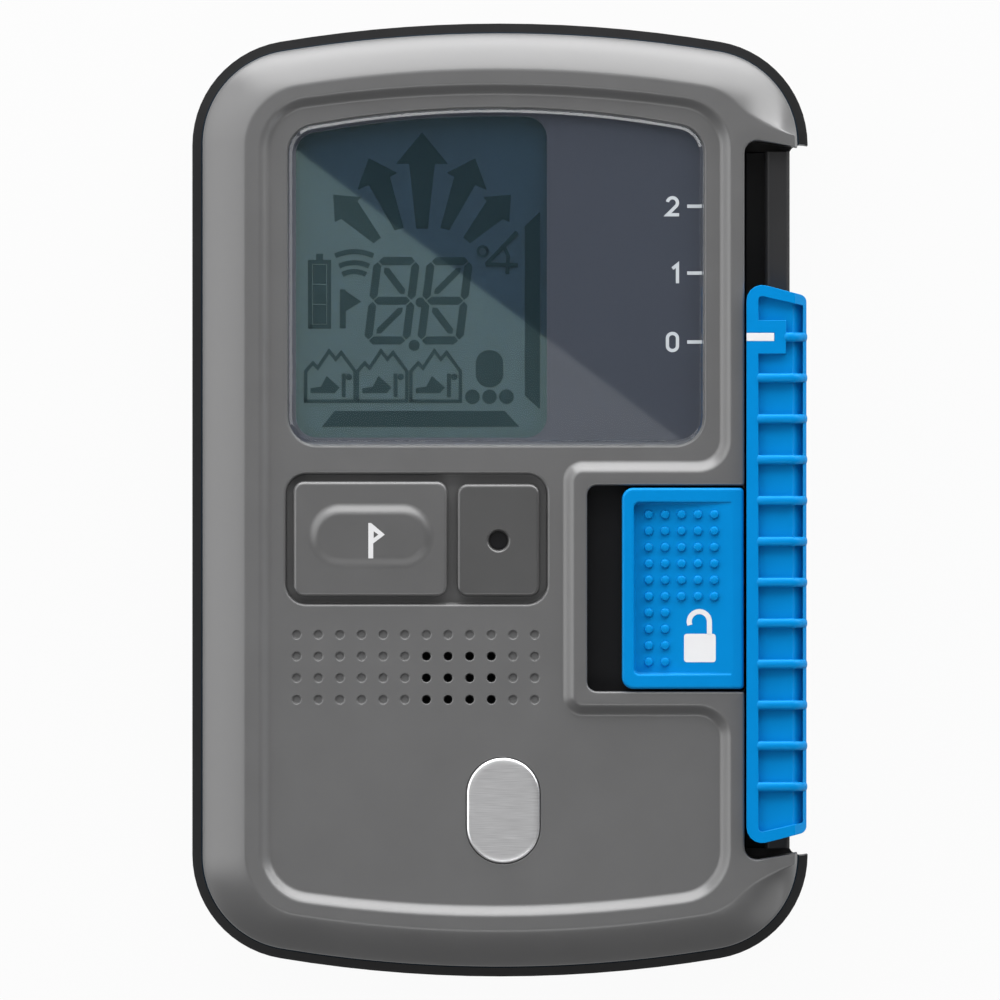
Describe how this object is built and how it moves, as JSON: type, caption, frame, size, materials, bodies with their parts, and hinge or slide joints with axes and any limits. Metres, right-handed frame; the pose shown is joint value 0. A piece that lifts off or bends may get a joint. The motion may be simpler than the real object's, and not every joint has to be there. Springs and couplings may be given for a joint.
{
  "type": "avalanche transceiver",
  "caption": "Hand-held avalanche transceiver: two-shell case with a display window, a mark button, and a sliding mode switch along the right edge held by a sprung lock button.",
  "frame": {"origin": "centre of the back face, on the plane it lies on", "axes": "+X to the slider's side, +Y to the display end, +Z out of the front face"},
  "size_m": [0.0762, 0.118, 0.029],
  "materials": {
    "shell_grey": "satin moulded dark grey",
    "shell_black": "fine matte texture, near black",
    "seal_rubber": "dull",
    "window_glass": "clear, smoked, hard-coated",
    "display": "grey-green display film",
    "white_acrylic": "translucent white",
    "white_plastic": "plain moulded",
    "key_grey": "satin moulded dark grey",
    "inner_black": "plain moulded",
    "smoked_acrylic": "polished",
    "mesh_cloth": "woven dust mesh",
    "inlay_silver": "brushed",
    "signal_blue": "satin moulded blue",
    "spring_steel": "plated",
    "rail_black": "low-friction moulded black",
    "magnet_nickel": "nickel plated",
    "pointer_white": "printed white",
    "board_green": "solder mask",
    "tinned_steel": "tinned",
    "screw_steel": "stainless",
    "ferrite": "sintered, dull",
    "copper_winding": "enamelled wire",
    "cell_jacket": "printed jacket",
    "insert_brass": "knurled"
  },
  "bodies": {
    "case": {"front_shell": "shell_grey", "rear_shell": "shell_black", "case_seal": "seal_rubber", "display_window": "window_glass", "lcd_panel": "display", "light_guide": "white_acrylic", "lcd_frame": "white_plastic", "mark_switch": "inner_black", "light_plate": "key_grey", "light_pipe": "smoked_acrylic", "key_membrane": "seal_rubber", "speaker_mesh": "mesh_cloth", "buzzer": "inner_black", "oval_inlay": "inlay_silver", "lock_spring": "spring_steel", "slide_rail": "rail_black", "detent_spring": "spring_steel", "main_board": "board_green", "radio_shield": "tinned_steel", "board_screws": "screw_steel", "long_antenna_rod": "ferrite", "long_antenna_coil": "copper_winding", "cross_antenna_rod": "ferrite", "cross_antenna_coil": "copper_winding", "upright_antenna_core": "ferrite", "upright_antenna_coil": "copper_winding", "battery_tray": "inner_black", "battery_1": "cell_jacket", "battery_2": "cell_jacket", "battery_3": "cell_jacket", "contact_springs": "spring_steel", "contact_plates": "spring_steel", "door_inserts": "insert_brass", "case_screws": "screw_steel", "case_inserts": "insert_brass", "lanyard_bar": "screw_steel"},
    "slider": {"mode_slider": "signal_blue", "slider_carriage": "rail_black", "slider_magnet": "magnet_nickel", "slider_pointer": "pointer_white"},
    "lock": {"lock_button": "signal_blue", "lock_clip": "inner_black"},
    "mark": {"mark_button": "key_grey", "switch_plunger": "white_plastic"},
    "door": {"battery_door": "shell_black", "door_seal": "seal_rubber"},
    "upper_screw": {"door_screw_upper": "screw_steel"},
    "lower_screw": {"door_screw_lower": "screw_steel"}
  },
  "joints": [
    {"name": "slider_slide", "type": "slide", "parent": "case", "child": "slider", "axis": [0, 1, 0], "range_m": [0, 0.0167]},
    {"name": "lock_slide", "type": "slide", "parent": "case", "child": "lock", "axis": [-1, 0, 0], "range_m": [0, 0.004], "stiffness_N_per_m": 500, "springref_m": -0.001, "deforming": ["lock_spring"]},
    {"name": "mark_press", "type": "slide", "parent": "case", "child": "mark", "axis": [0, 0, -1], "range_m": [0, 0.0007], "stiffness_N_per_m": 2500, "springref_m": -0.0005},
    {"name": "door_lift", "type": "slide", "parent": "case", "child": "door", "axis": [0, 0, -1], "range_m": [0, 0.016]},
    {"name": "upper_screw_turn", "type": "hinge", "parent": "door", "child": "upper_screw", "pos_m": [0, -0.00805, 0.0005], "axis": [0, 0, 1], "continuous": true},
    {"name": "lower_screw_turn", "type": "hinge", "parent": "door", "child": "lower_screw", "pos_m": [0, -0.04895, 0.0005], "axis": [0, 0, 1], "continuous": true}
  ]
}
